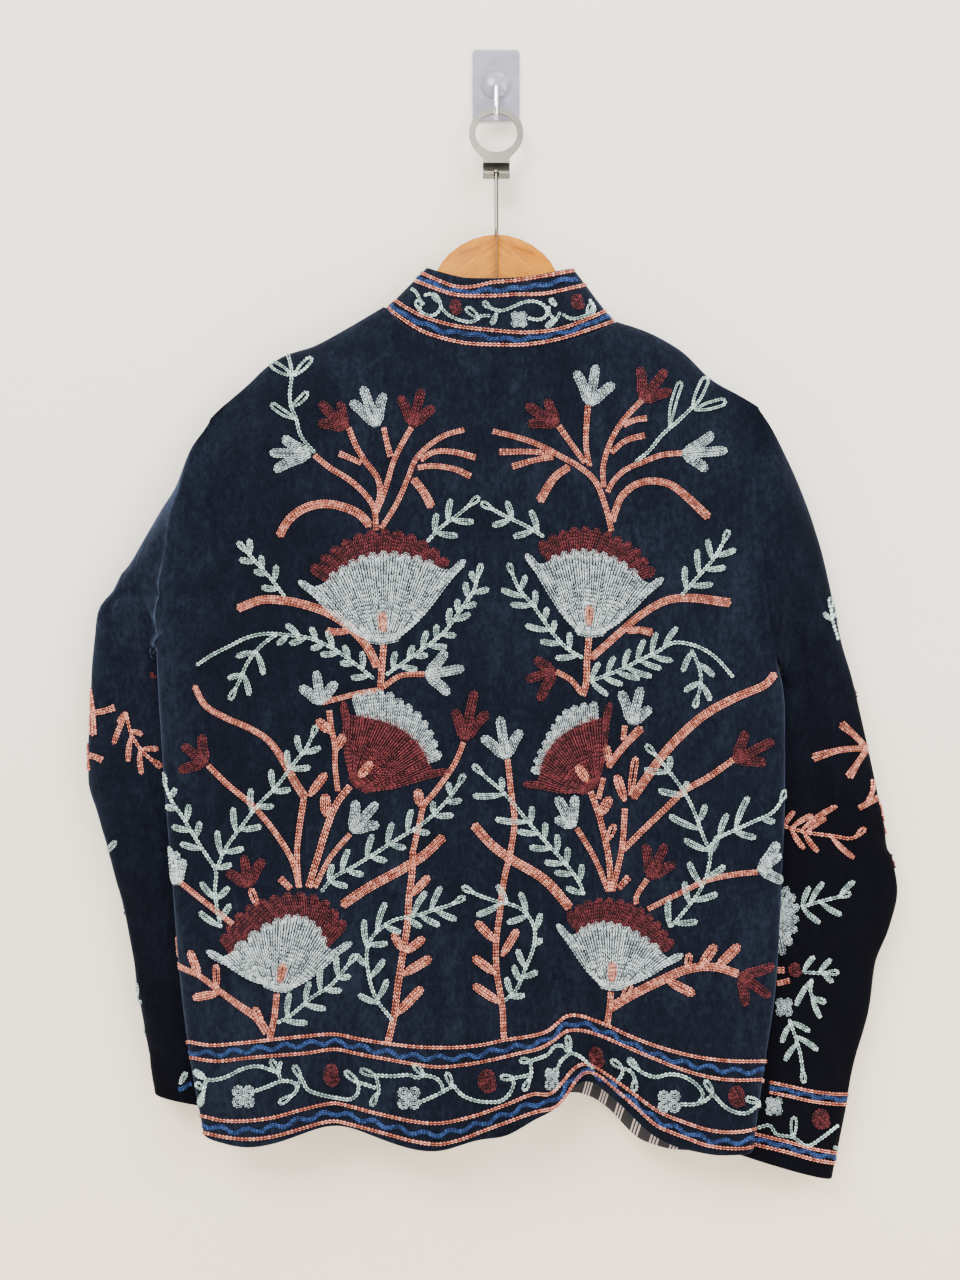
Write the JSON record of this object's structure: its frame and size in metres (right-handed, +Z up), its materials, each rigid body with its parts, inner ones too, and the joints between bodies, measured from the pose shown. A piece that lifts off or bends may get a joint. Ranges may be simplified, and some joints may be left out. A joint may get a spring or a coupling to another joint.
{
  "type": "embroidered velvet jacket on a wooden hanger and wall hook",
  "caption": "Hip-length velvet jacket with stand collar and chain-stitch floral embroidery, hung back outwards on a wooden hanger whose steel ring hangs on an adhesive wall hook.",
  "frame": {"origin": "middle of the flat back face of the wall hook's adhesive plate, on the wall plane y = 0", "axes": "+Z up, +X to the right of a viewer who faces the jacket's back, +Y into the wall; the jacket's back faces -Y"},
  "size_m": [0.69, 0.0815, 0.9708],
  "materials": {
    "velvet": "navy-black cotton velvet, soft nap with a grey-blue sheen on folds",
    "striped_facing": "flat woven cotton facing, black with groups of three pale stripes",
    "thread_salmon": "salmon chain-stitch thread, matt, raised rows of links",
    "thread_mint": "pale mint chain-stitch thread",
    "thread_grey": "blue-grey chain-stitch thread",
    "thread_burgundy": "dark burgundy chain-stitch thread",
    "thread_blue": "mid blue chain-stitch thread",
    "hanger_wood": "honey-coloured clear-lacquered wood with fine grain",
    "steel": "plated steel, satin",
    "chrome_wire": "polished chrome",
    "clear_plastic": "clear moulded plastic with a faint lilac cast"
  },
  "bodies": {
    "root": {"back": "velvet", "front_left": "velvet", "front_right": "velvet", "sleeve_left": "velvet", "sleeve_right": "velvet", "collar": "velvet", "hem_facing": "striped_facing", "hanger_arm_left": "hanger_wood", "hanger_arm_right": "hanger_wood", "hanger_ring": "steel", "hanger_rod": "steel", "hook_wire": "chrome_wire", "hook_plate": "clear_plastic"}
  },
  "joints": []
}
